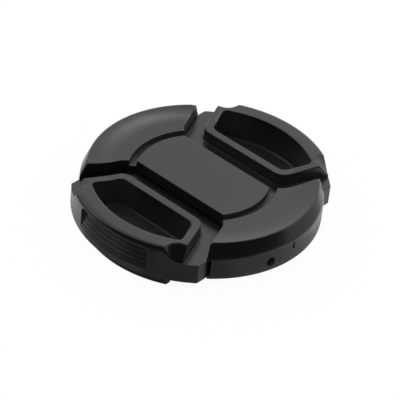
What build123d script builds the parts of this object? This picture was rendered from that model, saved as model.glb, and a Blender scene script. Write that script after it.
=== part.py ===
from build123d import *
import os
from math import cos, radians, sin, sqrt, tan

# Lens cap with two sprung pinch tabs, for a lens with a 52 mm filter thread.
# Millimetres, +Z up. The tabs slide along X and the cap rests on their claws at Z = 0.

# Filter thread of the lens
thread_diameter = 52.0
thread_pitch = 0.75
thread_ridge = 0.45

# Body, with heights above its bottom edge
rim_overlap = 1.5
wall_thickness = 1.8
wall_height = 5.25
deck_height = 7.8
dish_rise = 1.0
dish_start = 19.0
rim_inset = 1.5
band_blend = 2.5
window_foot = 1.0
edge_break = 0.2

# Middle plate, and the groove between it and the crescents
plate_half_width = 7.75
plate_radius = 15.2
groove_width = 1.7
groove_depth = 1.45

# Crescent ends: where they meet the wall, how they run to the slide axis, and their corner beyond the groove
end_rim_angle = 44.7
end_run_angle = 22.4
end_corner_gap = 1.6
end_corner_round = 3.0

# Leash hole and the small slit beside it, both in the side wall at -Y
leash_diameter = 2.2
leash_height = 2.3
leash_angle = 13.5
slit_width = 0.45
slit_height = 1.7
slit_depth = 0.5

# Pinch tabs, as they stand at rest
tab_proud = 2.4
tab_travel = 3.0
tab_inner = 6.6
ear_half = 19.4
ear_solid = 8.0
ledge_height = 4.8
skirt_thickness = 1.7
ear_deck = 1.8
cup_inner_gap = 5.0
cup_end_gap = 4.2
cup_corner_round = 3.0
crown_round = 1.1
crown_round_flats = 4
rim_width = 2.0
rim_outer_width = 4.0
rim_crown = 0.55
well_floor_height = 1.0
well_inner_round = 2.0
well_outer_round = 1.2
well_floor_break = 0.4
grip_half = 12.5
scallop_radius = 4.3
scallop_offset = 5.6
scallop_heading = 52.0
scallop_tilt = 43.5

# Ridged grip panel sunk in each tab's outer wall
panel_half = 10.0
panel_bottom_height = 1.6
panel_top_height = 7.0
panel_bottom_depth = 0.15
panel_top_depth = 1.4
panel_corner_round = 1.4
ridge_count = 5
ridge_rise = 0.12

# Thread claws under the tabs
claw_drop = 3.5
claw_thickness = 1.6
claw_preload = 1.5

# Lugs that hold the tabs in
lug_length = 2.0
lug_reach = 1.5

# Coil springs between the tabs
spring_y = 9.5
spring_diameter = 2.6
spring_wire = 0.4
spring_turns = 7
wire_sides = 4
runs_per_turn = 8
spring_seat_depth = 5.0

# Back plate and the body's tongues that hold it
back_thickness = 1.2
back_gap = 0.6
tongue_length = 5.0
tongue_width = 1.6
tongue_margin = 1.0

# Fits
slide_clearance = 0.25
spring_clearance = 0.35
stop_clearance = 0.2
tongue_clearance = 0.05

# Radii and levels that follow
thread_radius = thread_diameter / 2
body_radius = thread_radius + rim_overlap
inner_radius = body_radius - wall_thickness
rim_radius = body_radius - rim_inset
groove_radius = plate_radius + groove_width
body_bottom = claw_drop
wall_top = body_bottom + wall_height
deck_top = body_bottom + deck_height
rim_top = deck_top + dish_rise
crown_top = deck_top + rim_crown
ledge_top = body_bottom + ledge_height
roof = ledge_top + slide_clearance
spring_z = body_bottom + spring_clearance + spring_diameter / 2
spring_roof = spring_z + spring_diameter / 2 + spring_clearance
spring_seat_x = tab_inner + spring_seat_depth
land_y = ear_half + slide_clearance
tongue_y = land_y + tongue_margin + tongue_width / 2
lug_end = ear_half + lug_reach
stop_half = tab_inner - tab_travel - stop_clearance
window_half = body_radius * sin(radians(end_rim_angle)) + 3 * slide_clearance
back_radius = thread_radius - thread_ridge - back_gap
claw_inner_radius = thread_radius - claw_thickness
far = 2 * body_radius


def slab(x_start, x_end, half_width):
    return Pos((x_start + x_end) / 2, 0) * Rectangle(x_end - x_start, 2 * half_width)


def strip(half_length, y_start, y_end):
    return Pos(0, (y_start + y_end) / 2) * Rectangle(2 * half_length, y_end - y_start)


def prism(sketch, z_start, z_end):
    return extrude(Pos(0, 0, z_start) * sketch, amount=z_end - z_start)


def both_sides(shape):
    return shape + mirror(shape, about=Plane.XZ)


def half_turn(shape):
    return Rot(0, 0, 180) * shape


def spin(points, x_axis=0):
    profile = make_face(Polyline(*points, close=True))
    return Pos(x_axis, 0) * revolve(Plane.XZ * profile, axis=Axis.Z)


def crescent_end(x):
    # distance from the slide axis to a crescent's straight end wall
    rim_x = body_radius * cos(radians(end_rim_angle))
    rim_y = body_radius * sin(radians(end_rim_angle))
    return rim_y + (x - rim_x) * tan(radians(end_run_angle))


def wedge(x_start, inset):
    # space between both crescents' end walls, drawn in by inset, from x_start outwards
    drop = inset / cos(radians(end_run_angle))
    near_y = crescent_end(x_start) - drop
    far_y = crescent_end(far) - drop
    return make_face(Polyline((x_start, near_y), (far, far_y), (far, -far_y), (x_start, -near_y), close=True))


def bay():
    # opening that a tab moves in: along the plate, across the groove's ends, then out along the crescents
    plate_y = sqrt(plate_radius**2 - plate_half_width**2)
    run_angle = radians(end_run_angle)
    axis_gap = crescent_end(0) * cos(run_angle)
    knee_run = sqrt((groove_radius + end_corner_gap) ** 2 - axis_gap**2)
    knee = knee_run * cos(run_angle) - axis_gap * sin(run_angle)
    half = [(plate_half_width, plate_y), (knee, crescent_end(knee)), (far, crescent_end(far))]
    outline = half + [(x, -y) for x, y in reversed(half)]
    face = make_face(Polyline(*outline, close=True))
    knees = [v for v in face.vertices() if abs(v.X - knee) < 1e-6]
    return fillet(knees, end_corner_round)


def body_shell():
    # level deck that rises to the rim in a shallow dish, and a side wall that blends into the sloping band
    deck = Polyline((dish_start, deck_top), (0, deck_top), (0, body_bottom), (body_radius, body_bottom))
    side = Polyline((body_radius, body_bottom), (body_radius, wall_top), (rim_radius, rim_top))
    dish = TangentArc((dish_start, deck_top), (rim_radius, rim_top), tangent=(1, 0))
    profile = make_face([deck, side, dish])
    corner = profile.vertices().sort_by_distance((body_radius, wall_top))[0]
    profile = fillet(corner, band_blend)
    edge = profile.vertices().sort_by_distance((rim_radius, rim_top))[0]
    profile = chamfer(edge, edge_break)
    shell = revolve(Plane.XZ * profile, axis=Axis.Z)
    return shell - prism(Circle(inner_radius), body_bottom, roof)


def leash_place(radius):
    # point on the leash hole's line, this far from the cap's axis
    angle = radians(270 - leash_angle)
    return Pos(radius * cos(angle), radius * sin(angle)) * Rot(0, 0, 270 - leash_angle)


def leash_pocket():
    # space behind the leash hole, from which a cord can be led out between the wall and the back plate
    return leash_place(inner_radius - leash_diameter / 2) * Rectangle(leash_diameter, 2 * leash_diameter)


def tongues(clearance):
    # two tongues of the body, or the holes for them in the back plate
    tongue = Rectangle(tongue_length + 2 * clearance, tongue_width + 2 * clearance)
    return both_sides(Pos(0, tongue_y) * tongue)


def cap_body():
    body = body_shell()
    for turned in (False, True):
        opening = prism(bay(), roof, rim_top + 1)
        window = prism(slab(0, far, window_half), body_bottom, roof)
        cut = opening + window
        body -= half_turn(cut) if turned else cut
    body -= prism(Circle(groove_radius) - Circle(plate_radius), deck_top - groove_depth, deck_top + 1)

    lands = both_sides(strip(far, land_y, far)) & Circle(inner_radius + wall_thickness / 2)
    lands -= strip(far, -window_half, window_half) - Circle(inner_radius)
    lugs = both_sides(strip(tab_inner + lug_length, land_y, lug_end + slide_clearance))
    lugs -= slab(-stop_half, stop_half, far)
    lands -= lugs
    rib = slab(-stop_half, stop_half, land_y)
    rib -= both_sides(Pos(0, spring_y) * Rectangle(far, spring_diameter + 2 * spring_clearance))
    body += prism(lands + rib, body_bottom, roof)
    body += prism(slab(-stop_half, stop_half, land_y), spring_roof, roof)

    # at its foot the wall runs on to the tabs' ears
    feet = both_sides(strip(far, land_y, window_half)) & (Circle(body_radius) - Circle(inner_radius))
    body += prism(feet, body_bottom, body_bottom + window_foot)
    body += prism(tongues(0), body_bottom - back_thickness, body_bottom)

    body -= prism(leash_pocket(), body_bottom, roof)
    bore = Cylinder(leash_diameter / 2, 2 * wall_thickness, rotation=(0, 90, 0))
    body -= Pos(0, 0, body_bottom + leash_height) * leash_place(inner_radius + wall_thickness / 2) * bore
    slit_z = body_bottom + wall_height - slit_height / 2 - slit_width
    body -= Pos(0, -body_radius, slit_z) * Box(slit_width, 2 * slit_depth, slit_height)
    return body


def tab_disc(radius):
    return Pos(tab_proud, 0) * Circle(radius)


def grip_panel():
    # recess with a leaning, ridged floor that is deepest at its top
    bottom = body_bottom + panel_bottom_height
    top = body_bottom + panel_top_height
    step = (top - bottom) / ridge_count
    lean = (panel_top_depth - panel_bottom_depth) / (top - bottom)
    floor = []
    for k in range(ridge_count):
        for share, rise in ((0.0, 0.0), (0.5, ridge_rise), (1.0, 0.0)):
            z = bottom + (k + share) * step
            floor.append((body_radius - panel_bottom_depth - lean * (z - bottom) + rise, z))
    del floor[3::3]
    ring = spin(floor + [(far, top), (far, bottom)], tab_proud)
    outline = Rectangle(2 * panel_half, top - bottom)
    outline = fillet(outline.vertices().group_by(Axis.Y)[-1], panel_corner_round)
    frame = extrude(Pos(tab_proud, 0, (top + bottom) / 2) * (Plane.YZ * outline), amount=far)
    return ring & frame


def claw():
    # part of a ring with the thread's ridges on its outside
    root = thread_radius - thread_ridge
    points = [(claw_inner_radius, body_bottom + thread_pitch), (claw_inner_radius, 0), (root, 0)]
    for k in range(int(claw_drop / thread_pitch)):
        points.append((thread_radius, (k + 0.5) * thread_pitch))
        points.append((root, (k + 1) * thread_pitch))
    points.append((root, body_bottom + thread_pitch))
    ring = spin(points, claw_preload)
    return ring & prism(slab(tab_proud, far, grip_half), 0, body_bottom + thread_pitch)


def space_over_tab():
    # level deck, then a slope like the body's dish up to the crown, its outer edge rounded in flats
    dish_radius = ((rim_radius - dish_start) ** 2 + dish_rise**2) / (2 * dish_rise)
    crown_radius = dish_start + sqrt(2 * dish_radius * rim_crown - rim_crown**2)
    points = [(0, far), (0, deck_top), (dish_start, deck_top), (crown_radius, crown_top)]
    for k in range(crown_round_flats + 1):
        angle = radians(90 * k / crown_round_flats)
        x = body_radius - crown_round * (1 - sin(angle))
        points.append((x, crown_top - crown_round * (1 - cos(angle))))
    points += [(far, crown_top - crown_round), (far, far)]
    return spin(points, tab_proud)


def scallop():
    # leaning round cut beside the grip, deep at the rim and running out at the ledge
    corner_x = tab_proud + sqrt(body_radius**2 - grip_half**2)
    cutter = Rot(0, 0, scallop_heading) * Rot(0, -scallop_tilt, 0) * Cylinder(scallop_radius, far)
    cutter = Pos(corner_x, grip_half + scallop_offset, crown_top) * cutter
    return cutter & prism(slab(0, far, far), ledge_top, far)


def finger_well():
    outline = wedge(plate_half_width + cup_inner_gap + rim_width, cup_end_gap + rim_width)
    outline &= tab_disc(body_radius - rim_outer_width)
    outline = fillet(outline.vertices().group_by(Axis.X)[0], well_inner_round)
    outline = fillet(outline.vertices().group_by(Axis.X)[-1], well_outer_round)
    well = prism(outline, body_bottom + well_floor_height, rim_top)
    floor_edges = well.faces().sort_by(Axis.Z)[0].edges().sort_by(Axis.X)
    return chamfer(floor_edges[:-1], well_floor_break)


def pinch_tab():
    reach = tab_disc(body_radius)
    tab = prism(slab(tab_inner, far, ear_half) & reach, body_bottom, ledge_top)
    hollow = slab(tab_inner + ear_solid, far, ear_half - skirt_thickness)
    hollow &= tab_disc(body_radius - skirt_thickness)
    hollow -= wedge(0, cup_end_gap)
    tab -= prism(hollow, body_bottom, ledge_top - ear_deck)

    cup_outline = wedge(plate_half_width + cup_inner_gap, cup_end_gap)
    cup_outline = fillet(cup_outline.vertices().group_by(Axis.X)[0], cup_corner_round)
    cup = prism(cup_outline & reach, body_bottom, crown_top)
    cup -= space_over_tab()
    cup -= both_sides(scallop())
    tab += cup
    tab -= finger_well()
    tab -= grip_panel()
    tab += claw()

    lug = slab(tab_inner, tab_inner + lug_length, lug_end)
    tab += prism(lug, body_bottom, ledge_top)
    channel = slab(tab_inner, spring_seat_x, spring_diameter / 2 + spring_clearance)
    tab -= both_sides(Pos(0, spring_y) * prism(channel, body_bottom, spring_roof))
    return tab


def coil_spring():
    # coil along X, its wire in short straight runs, with both ends ground flat against the tabs
    length = 2 * spring_seat_x
    radius = (spring_diameter - spring_wire) / 2
    run = length + 2 * spring_wire
    count = spring_turns * runs_per_turn
    points = []
    for k in range(count + 1):
        angle = radians(360 * k / runs_per_turn)
        points.append((run * (k / count - 0.5), radius * cos(angle), radius * sin(angle)))
    path = Polyline(*points)
    section = Plane(origin=path @ 0, z_dir=path % 0) * RegularPolygon(spring_wire / 2, wire_sides)
    coil = sweep(section, path=path, transition=Transition.RIGHT)
    return coil & Box(length, far, far)


def back_plate():
    claw_tip = claw_preload + sqrt(claw_inner_radius**2 - grip_half**2)
    flat_x = claw_tip - tab_travel - 2 * slide_clearance
    outline = Circle(back_radius) & slab(-flat_x, flat_x, far)
    outline -= tongues(tongue_clearance)
    return prism(outline, body_bottom - back_thickness, body_bottom)


tab = pinch_tab()
spring = Pos(0, 0, spring_z) * coil_spring()
pieces = {
    "cap_body": cap_body(),
    "pinch_tab_right": tab,
    "pinch_tab_left": half_turn(tab),
    "spring_front": Pos(0, -spring_y) * spring,
    "spring_rear": Pos(0, spring_y) * spring,
    "back_plate": back_plate(),
}

os.makedirs("parts", exist_ok=True)
for name, piece in pieces.items():
    export_step(piece, f"parts/{name}.step")
    print(name, piece.is_valid, len(piece.solids()), piece.bounding_box())
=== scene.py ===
import bpy
import math
from mathutils import Matrix, Vector


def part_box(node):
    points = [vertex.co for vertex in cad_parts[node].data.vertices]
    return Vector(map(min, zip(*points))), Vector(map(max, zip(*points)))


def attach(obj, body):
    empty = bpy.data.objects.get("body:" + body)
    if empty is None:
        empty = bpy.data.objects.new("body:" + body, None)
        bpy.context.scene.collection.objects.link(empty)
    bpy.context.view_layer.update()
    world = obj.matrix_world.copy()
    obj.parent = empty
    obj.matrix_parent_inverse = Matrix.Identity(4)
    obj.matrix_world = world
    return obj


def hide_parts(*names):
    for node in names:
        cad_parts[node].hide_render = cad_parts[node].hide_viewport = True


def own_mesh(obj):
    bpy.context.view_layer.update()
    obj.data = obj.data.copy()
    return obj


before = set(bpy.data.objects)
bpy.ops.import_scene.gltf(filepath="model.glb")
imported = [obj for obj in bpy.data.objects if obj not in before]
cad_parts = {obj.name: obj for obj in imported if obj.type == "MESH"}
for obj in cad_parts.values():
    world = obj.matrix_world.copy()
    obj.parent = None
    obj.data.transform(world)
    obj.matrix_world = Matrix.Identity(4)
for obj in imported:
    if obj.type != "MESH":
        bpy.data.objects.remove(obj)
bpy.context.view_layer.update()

mm = 0.001
print("frame loaded:", ", ".join(sorted(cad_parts)))


def srgb(hexColour):  # sRGB hex to linear, with alpha
    channels = [int(hexColour[i:i + 2], 16) / 255 for i in (1, 3, 5)]
    return [c / 12.92 if c <= 0.04045 else ((c + 0.055) / 1.055) ** 2.4 for c in channels] + [1.0]


def addNode(tree, kind, sockets=None, **settings):
    node = tree.nodes.new(kind)
    for name, value in settings.items():
        setattr(node, name, value)
    for name, value in (sockets or {}).items():
        if isinstance(value, bpy.types.NodeSocket):
            tree.links.new(value, node.inputs[name])
        else:
            node.inputs[name].default_value = value
    return node


def emptyMaterial(name):
    material = bpy.data.materials.new(name)
    material.use_nodes = True
    material.node_tree.nodes.clear()
    return material, material.node_tree


# ABS, injection moulded against a spark-eroded steel mould: a near-black satin skin of tiny even pits, so
# highlights are broad and soft, with faint cloudy flow marks; painted shade dulls its reflection in corners,
# and painted light greys it in deep pockets.
# Real pits are about a third of this size: they are drawn coarser so that they show
plastic = {
    "colour": "#0d0d0d", "flowColour": "#0f0f0f", "flowSize": 9 * mm, "flowSpan": (0.3, 0.7), "ior": 1.56,
    "roughness": 0.27, "tabRoughness": 0.29, "backRoughness": 0.37, "roughnessFlow": 0.03,
    "recessTop": 8.2 * mm, "recessFloor": 6 * mm, "recessRoughness": 0.08,
    # painted shade in corners: how far to look for walls, how walled in counts as a corner, and the
    # reflection there and in the open
    "cornerReach": 1.3 * mm, "cornerOpenness": (0.45, 0.95), "paintedCornerShadeGloss": 0.02, "openGloss": 0.5,
    # painted light in deep pockets: how far to look for walls, how walled in counts as a pocket, and its
    # greyer tint
    "pocketReach": 10 * mm, "pocketOpenness": (0.4, 0.9), "paintedPocketLightColour": "#2a2a2a",
    "pitSize": 0.22 * mm, "pitDepth": 0.006 * mm, "backPitDepth": 0.009 * mm, "raySamples": 16,
}


def mouldedPlastic(name, roughness, pitDepth, ownCorners=False):  # ownCorners: other pieces make no corners
    material, tree = emptyMaterial(name)
    place = addNode(tree, "ShaderNodeTexCoord").outputs["Object"]
    # cloudy flow marks, in the tint and in the sheen
    flow = addNode(tree, "ShaderNodeTexNoise", {
        "Vector": place, "Scale": 1 / plastic["flowSize"], "Detail": 3.0})
    tint = addNode(tree, "ShaderNodeMix", {
        "Factor": flow.outputs["Fac"], "A": srgb(plastic["colour"]), "B": srgb(plastic["flowColour"])},
        data_type="RGBA")
    sheen = addNode(tree, "ShaderNodeMapRange", {
        "Value": flow.outputs["Fac"], "From Min": plastic["flowSpan"][0], "From Max": plastic["flowSpan"][1],
        "To Min": roughness - plastic["roughnessFlow"], "To Max": roughness + plastic["roughnessFlow"]})
    # low down the mould is left rougher
    axes = addNode(tree, "ShaderNodeSeparateXYZ", {"Vector": place})
    recess = addNode(tree, "ShaderNodeMapRange", {
        "Value": axes.outputs["Z"], "From Min": plastic["recessFloor"], "From Max": plastic["recessTop"],
        "To Min": plastic["recessRoughness"], "To Max": 0.0})
    grain = addNode(tree, "ShaderNodeMath", {0: sheen.outputs["Result"], 1: recess.outputs["Result"]})
    # painted light: deep pockets, found by how closely they are walled in, are tinted greyer
    shelter = addNode(tree, "ShaderNodeAmbientOcclusion", {"Distance": plastic["pocketReach"]},
                      samples=plastic["raySamples"], only_local=True)
    paintedPocketLight = addNode(tree, "ShaderNodeMapRange", {
        "Value": shelter.outputs["AO"], "From Min": plastic["pocketOpenness"][0],
        "From Max": plastic["pocketOpenness"][1], "To Min": 1.0, "To Max": 0.0})
    flowTintAndPaintedPocketLight = addNode(tree, "ShaderNodeMix", {
        "Factor": paintedPocketLight.outputs["Result"], "A": tint.outputs["Result"], "B": srgb(plastic["paintedPocketLightColour"])},
        data_type="RGBA")
    # painted shade: the reflection is turned down in corners, found by how closely they are walled in
    openness = addNode(tree, "ShaderNodeAmbientOcclusion", {"Distance": plastic["cornerReach"]},
                       samples=plastic["raySamples"], only_local=ownCorners)
    glossUnderPaintedShade = addNode(tree, "ShaderNodeMapRange", {
        "Value": openness.outputs["AO"], "From Min": plastic["cornerOpenness"][0],
        "From Max": plastic["cornerOpenness"][1],
        "To Min": plastic["paintedCornerShadeGloss"], "To Max": plastic["openGloss"]})
    # tiny even pits
    pits = addNode(tree, "ShaderNodeTexNoise", {
        "Vector": place, "Scale": 1 / plastic["pitSize"], "Detail": 2.0})
    bump = addNode(tree, "ShaderNodeBump", {
        "Height": pits.outputs["Fac"], "Strength": 1.0, "Distance": pitDepth})
    skin = addNode(tree, "ShaderNodeBsdfPrincipled", {
        "Base Color": flowTintAndPaintedPocketLight.outputs["Result"], "Roughness": grain.outputs["Value"], "IOR": plastic["ior"],
        "Specular IOR Level": glossUnderPaintedShade.outputs["Result"], "Normal": bump.outputs["Normal"]})
    addNode(tree, "ShaderNodeOutputMaterial", {"Surface": skin.outputs["BSDF"]})
    return material


satinShell = mouldedPlastic("moulded satin ABS, shell", plastic["roughness"], plastic["pitDepth"])
satinTabs = mouldedPlastic("moulded satin ABS, tabs", plastic["tabRoughness"], plastic["pitDepth"],
                           ownCorners=True)
mattBack = mouldedPlastic("moulded matt ABS, back", plastic["backRoughness"], plastic["backPitDepth"])

# Spring steel wire, drawn and oil tempered: a bright grey metal whose polish is finely mottled
steel = {"colour": "#a9a8a4", "mottleSize": 0.08 * mm, "roughness": (0.18, 0.42)}


def drawnSteel(name):
    material, tree = emptyMaterial(name)
    place = addNode(tree, "ShaderNodeTexCoord").outputs["Object"]
    mottle = addNode(tree, "ShaderNodeTexNoise", {
        "Vector": place, "Scale": 1 / steel["mottleSize"], "Detail": 2.0})
    polish = addNode(tree, "ShaderNodeMapRange", {
        "Value": mottle.outputs["Fac"], "To Min": steel["roughness"][0], "To Max": steel["roughness"][1]})
    metal = addNode(tree, "ShaderNodeBsdfPrincipled", {
        "Base Color": srgb(steel["colour"]), "Metallic": 1.0, "Roughness": polish.outputs["Result"]})
    addNode(tree, "ShaderNodeOutputMaterial", {"Surface": metal.outputs["BSDF"]})
    return material


springWire = drawnSteel("drawn spring steel wire")
print("materials made")

# Mouldings: the solids remeshed in fine voxels and smoothed, so many times for each kind of edge
moulding = {
    "weld": 0.002 * mm, "voxel": 0.11 * mm, "triangles": 180000, "smoothing": 0.5,
    "fineRounding": 2, "softRounding": 8, "gripRounding": 70, "scallopRounding": 40, "cornerRounding": 120,
}


def only(piece):  # makes one object the active and only selected one
    bpy.ops.object.select_all(action="DESELECT")
    piece.select_set(True)
    bpy.context.view_layer.objects.active = piece


def applyModifier(piece, kind, **settings):
    modifier = piece.modifiers.new(kind.lower(), kind)
    for name, value in settings.items():
        setattr(modifier, name, value)
    bpy.ops.object.modifier_apply(modifier=modifier.name)


def nodeCopy(nodeName, pieceName):  # a welded copy of a CAD node's mesh, to be worked on
    piece = bpy.data.objects.new(pieceName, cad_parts[nodeName].data.copy())
    bpy.context.scene.collection.objects.link(piece)
    only(piece)
    bpy.ops.object.mode_set(mode="EDIT")
    bpy.ops.mesh.select_all(action="SELECT")
    bpy.ops.mesh.remove_doubles(threshold=moulding["weld"])
    bpy.ops.object.mode_set(mode="OBJECT")
    return piece


def roundEdges(piece, wider):  # all edges get a fine round, and the places named in wider more
    only(piece)
    piece.data.materials.clear()
    applyModifier(piece, "REMESH", mode="VOXEL", voxel_size=moulding["voxel"], use_smooth_shade=True)
    applyModifier(piece, "SMOOTH", factor=moulding["smoothing"], iterations=moulding["fineRounding"])
    for kind, belongs in wider.items():
        group = piece.vertex_groups.new(name=kind)
        group.add([v.index for v in piece.data.vertices if belongs(v.co)], 1.0, "REPLACE")
        applyModifier(piece, "SMOOTH", factor=moulding["smoothing"], iterations=moulding[kind + "Rounding"],
                      vertex_group=kind)
    piece.vertex_groups.clear()
    faceCount = 2 * len(piece.data.polygons)  # in triangles
    applyModifier(piece, "DECIMATE", ratio=min(1.0, moulding["triangles"] / faceCount))
    bpy.ops.object.shade_smooth()
    print(piece.name, "rounded:", faceCount, "to", len(piece.data.polygons), "faces")


def finishPiece(piece, body, node, material):
    piece.data.materials.clear()
    piece.data.materials.append(material)
    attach(piece, body)
    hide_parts(node)


# Shell: soft top edges, and rounder ends on the crescents' rims
shellEdges = {"softAbove": 10.2 * mm, "cornerAbove": 8.9 * mm, "cornerOut": 17 * mm}
shell = nodeCopy("cap_body", "moulded_shell")
roundEdges(shell, {
    "soft": lambda p: p.z > shellEdges["softAbove"],
    "corner": lambda p: p.z > shellEdges["cornerAbove"] and abs(p.x) > shellEdges["cornerOut"]})
finishPiece(shell, "cap", "cap_body", satinShell)
print("shell dressed")

# Tabs: soft rims, low worn ridges in the grip panel, and round lips on the scallops
tabEdges = {
    "softAbove": 10.6 * mm, "scallopAbove": 10.2 * mm, "scallopOut": 12.2 * mm,
    "gripLow": 5.5 * mm, "gripHigh": 10.1 * mm, "gripOut": 26 * mm, "gripHalf": 9.2 * mm,
}


def inGrip(p):
    inHeight = tabEdges["gripLow"] < p.z < tabEdges["gripHigh"]
    return inHeight and abs(p.x) > tabEdges["gripOut"] and abs(p.y) < tabEdges["gripHalf"]


for side in ("right", "left"):
    tab = nodeCopy("pinch_tab_" + side, "moulded_tab_" + side)
    roundEdges(tab, {
        "soft": lambda p: p.z > tabEdges["softAbove"],
        "grip": inGrip,
        "scallop": lambda p: p.z > tabEdges["scallopAbove"] and abs(p.y) > tabEdges["scallopOut"]})
    finishPiece(tab, "tab_" + side, "pinch_tab_" + side, satinTabs)
print("tabs dressed")

back = nodeCopy("back_plate", "moulded_back")
roundEdges(back, {"soft": lambda p: True})  # soft all over
finishPiece(back, "cap", "back_plate", mattBack)
print("back dressed")

# Coil springs of round wire: one coil is wound, and each spring is two halves of it that meet in the middle
coil = {
    "radius": 1.1 * mm, "wire": 0.4 * mm, "turns": 7, "sides": 12, "stepsPerTurn": 24,
    "travel": 3 * mm, "creaseAngle": 40,
}
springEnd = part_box("spring_front")[1][0]
coilEnd = springEnd + coil["wire"]  # the coil is wound past its ends, which are then cut square
coilSteps = coil["turns"] * coil["stepsPerTurn"]
bpy.ops.object.select_all(action="DESELECT")
bpy.ops.mesh.primitive_circle_add(vertices=coil["sides"], radius=coil["wire"] / 2)
wound = bpy.context.object
bpy.ops.object.mode_set(mode="EDIT")
bpy.ops.transform.translate(value=(-coilEnd, coil["radius"], 0))
bpy.ops.object.mode_set(mode="OBJECT")
applyModifier(wound, "SCREW", axis="X", angle=coil["turns"] * math.tau, screw_offset=2 * coilEnd,
              steps=coilSteps, render_steps=coilSteps)


def coilHalf(nodeName, side, towards):
    low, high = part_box(nodeName)
    middle = [(a + b) / 2 for a, b in zip(low, high)]
    piece = bpy.data.objects.new("coil" + nodeName.removeprefix("spring") + "_" + side, wound.data.copy())
    bpy.context.scene.collection.objects.link(piece)
    only(piece)
    bpy.ops.object.mode_set(mode="EDIT")
    bpy.ops.mesh.select_all(action="SELECT")
    bpy.ops.mesh.bisect(plane_co=(0, 0, 0), plane_no=(towards, 0, 0), use_fill=True, clear_inner=True)
    bpy.ops.mesh.select_all(action="SELECT")
    bpy.ops.mesh.bisect(plane_co=(towards * springEnd, 0, 0), plane_no=(towards, 0, 0),
                        use_fill=True, clear_outer=True)
    bpy.ops.mesh.select_all(action="SELECT")
    bpy.ops.mesh.normals_make_consistent(inside=False)
    bpy.ops.transform.translate(value=middle)
    bpy.ops.object.mode_set(mode="OBJECT")
    bpy.ops.object.shade_smooth_by_angle(angle=math.radians(coil["creaseAngle"]))
    finishPiece(piece, "cap", nodeName, springWire)
    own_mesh(piece)


for nodeName in ("spring_front", "spring_rear"):
    coilHalf(nodeName, "right", 1)
    coilHalf(nodeName, "left", -1)
bpy.data.objects.remove(wound)
print("springs wound")

# Set: a white sweep, a soft box over the far side, and flags on the camera's side that the object mirrors
studio = {
    "white": "#ffffff", "worldStrength": 0.9, "floorSize": 4.0, "floorGlow": 0.96,
    "boxSize": 0.1, "boxDistance": 1.1, "boxElevation": 48.5, "boxTurn": 9, "boxPower": 0.31,
    "sheetRadius": 31 * mm, "sheetHeight": 0.6 * mm, "sheetGlow": 0.1,
}


def anyRay(tree):  # 1 on rays that see the white of the room: from the camera, and mirrored or let through
    rays = addNode(tree, "ShaderNodeLightPath")
    direct = addNode(tree, "ShaderNodeMath", {
        0: rays.outputs["Is Camera Ray"], 1: rays.outputs["Is Glossy Ray"]}, operation="MAXIMUM")
    return addNode(tree, "ShaderNodeMath", {
        0: direct.outputs[0], 1: rays.outputs["Is Transmission Ray"]}, operation="MAXIMUM").outputs[0]


def whitePaper(name, share):  # shows this share of plain white, and its true shade in the rest
    material, tree = emptyMaterial(name)
    paper = addNode(tree, "ShaderNodeBsdfDiffuse", {"Color": srgb(studio["white"])})
    glow = addNode(tree, "ShaderNodeEmission", {"Color": srgb(studio["white"]), "Strength": 1.0})
    seen = addNode(tree, "ShaderNodeMath", {0: anyRay(tree), 1: share}, operation="MULTIPLY")
    mixed = addNode(tree, "ShaderNodeMixShader", {
        0: seen.outputs[0], 1: paper.outputs["BSDF"], 2: glow.outputs["Emission"]})
    addNode(tree, "ShaderNodeOutputMaterial", {"Surface": mixed.outputs["Shader"]})
    return material


def onlyMirrored(board):  # shows in reflections and nowhere else
    board.visible_camera = False
    board.visible_diffuse = False
    board.visible_shadow = False


bpy.ops.object.select_all(action="DESELECT")
bpy.ops.mesh.primitive_plane_add(size=studio["floorSize"])
floor = bpy.context.object
floor.name = "floor"
floor.data.materials.append(whitePaper("white paper sweep", studio["floorGlow"]))

world = bpy.data.worlds.new("white room")
bpy.context.scene.world = world
world.use_nodes = True
tree = world.node_tree
tree.nodes.clear()
roomLevel = addNode(tree, "ShaderNodeMapRange", {
    "Value": anyRay(tree), "To Min": studio["worldStrength"], "To Max": 1.0})
air = addNode(tree, "ShaderNodeBackground", {
    "Color": srgb(studio["white"]), "Strength": roomLevel.outputs["Result"]})
addNode(tree, "ShaderNodeOutputWorld", {"Surface": air.outputs["Background"]})
print("floor and room set")

# Camera, turned about the aim and rolled a little
shot = {
    "azimuth": -50.6756, "elevation": 36.7714, "roll": 6.0475, "distance": 492.4 * mm,
    "aim": (0, 0, 3.5 * mm), "lens": 196.87, "sensorWidth": 36, "shift": (-0.0004, 0.0047),
    "clipStart": 10 * mm,
}
azimuth, elevation, roll = (math.radians(shot[k]) for k in ("azimuth", "elevation", "roll"))
cameraward = Vector((math.sin(azimuth), -math.cos(azimuth), 0))  # towards the camera, level
rightward = Vector((math.cos(azimuth), math.sin(azimuth), 0))
skyward = Vector((0, 0, 1))
backward = math.cos(elevation) * cameraward + math.sin(elevation) * skyward
upward = backward.cross(rightward)
rolledRight = math.cos(roll) * rightward + math.sin(roll) * upward
rolledUp = -math.sin(roll) * rightward + math.cos(roll) * upward
cameraData = bpy.data.cameras.new("camera")
camera = bpy.data.objects.new("camera", cameraData)
bpy.context.scene.collection.objects.link(camera)
turn = Matrix((rolledRight, rolledUp, backward)).transposed().to_4x4()
turn.translation = Vector(shot["aim"]) + shot["distance"] * backward
camera.matrix_world = turn
cameraData.sensor_width = shot["sensorWidth"]
cameraData.lens = shot["lens"]
cameraData.shift_x, cameraData.shift_y = shot["shift"]
cameraData.clip_start = shot["clipStart"]
bpy.context.scene.camera = camera

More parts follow.
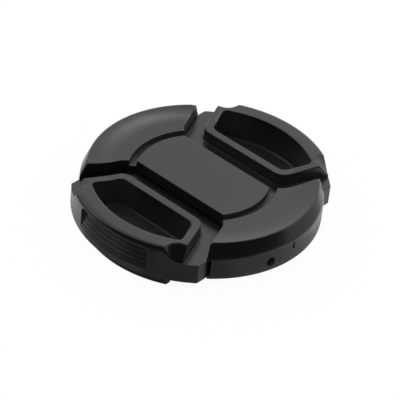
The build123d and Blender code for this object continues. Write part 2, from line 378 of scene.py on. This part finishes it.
# Soft box, over the far side and a little to the right
boxRise, boxTurn = math.radians(studio["boxElevation"]), math.radians(studio["boxTurn"])
boxHeading = math.sin(boxTurn) * rightward - math.cos(boxTurn) * cameraward
boxPlace = studio["boxDistance"] * (math.cos(boxRise) * boxHeading + math.sin(boxRise) * skyward)
bpy.ops.object.light_add(type="AREA", location=boxPlace)
softBox = bpy.context.object
softBox.name = "soft_box"
softBox.data.size = studio["boxSize"]
softBox.data.energy = studio["boxPower"]
softBox.rotation_euler = (-boxPlace).to_track_quat("-Z", "Y").to_euler()

# Flags and cards: each with its width and length in metres, and the place of its middle to the right of
# the camera's line, towards the camera and up
flags = {
    "black_flag": {"colour": "#0a0a0a", "size": (9.0, 4.0), "middle": (0.0, 0.45, 2.0), "stands": True},
    "black_card": {"colour": "#0a0a0a", "size": (3.0, 0.75), "middle": (0.0, 0.425, 0.0004)},
    # the grey cards are painted shade of the floor, seen only in reflections: each grey stands for how dim
    # the floor is there under the object's shadow and the uneven light
    "front_painted_shade_card": {"colour": "#a0a0a0", "size": (0.026, 0.036), "middle": (-0.001, 0.032, 0.0003)},
    "side_painted_shade_card": {"colour": "#c8c8c8", "size": (0.024, 0.02), "middle": (-0.026, 0.024, 0.0003)},
    "corner_painted_shade_card": {"colour": "#707070", "size": (0.024, 0.016), "middle": (-0.026, 0.042, 0.0003)},
    "pale_painted_shade_card": {"colour": "#c8c8c8", "size": (0.02, 0.045), "middle": (0.022, 0.0275, 0.0003)},
    "left_painted_shade_card": {"colour": "#7c7c7c", "size": (0.2, 0.15), "middle": (-0.138, -0.025, 0.0003)},
    "right_painted_shade_card": {"colour": "#b4b4b4", "size": (0.2, 0.15), "middle": (0.143, -0.025, 0.0003)},
}
for flagName, flag in flags.items():
    bpy.ops.object.select_all(action="DESELECT")
    bpy.ops.mesh.primitive_plane_add(size=1)
    board = bpy.context.object
    board.name = flagName
    boardMaterial, tree = emptyMaterial("flock, " + flagName)
    flock = addNode(tree, "ShaderNodeBsdfDiffuse", {"Color": srgb(flag["colour"])})
    addNode(tree, "ShaderNodeOutputMaterial", {"Surface": flock.outputs["BSDF"]})
    board.data.materials.append(boardMaterial)
    axes = (rightward, skyward, cameraward) if flag.get("stands") else (rightward, cameraward, skyward)
    turn = Matrix(axes).transposed().to_4x4() @ Matrix.Diagonal((*flag["size"], 1, 1))
    across, near, height = flag["middle"]
    turn.translation = across * rightward + near * cameraward + height * skyward
    board.matrix_world = turn
    onlyMirrored(board)

# Round paper sheet over the cards, right under the object, in its shade
bpy.ops.object.select_all(action="DESELECT")
bpy.ops.mesh.primitive_circle_add(radius=studio["sheetRadius"], fill_type="NGON",
                                  location=(0, 0, studio["sheetHeight"]))
sheet = bpy.context.object
sheet.name = "white_sheet"
sheet.data.materials.append(whitePaper("white paper, in shade", studio["sheetGlow"]))
onlyMirrored(sheet)

bpy.context.scene.view_settings.view_transform = "Standard"
print("studio set")
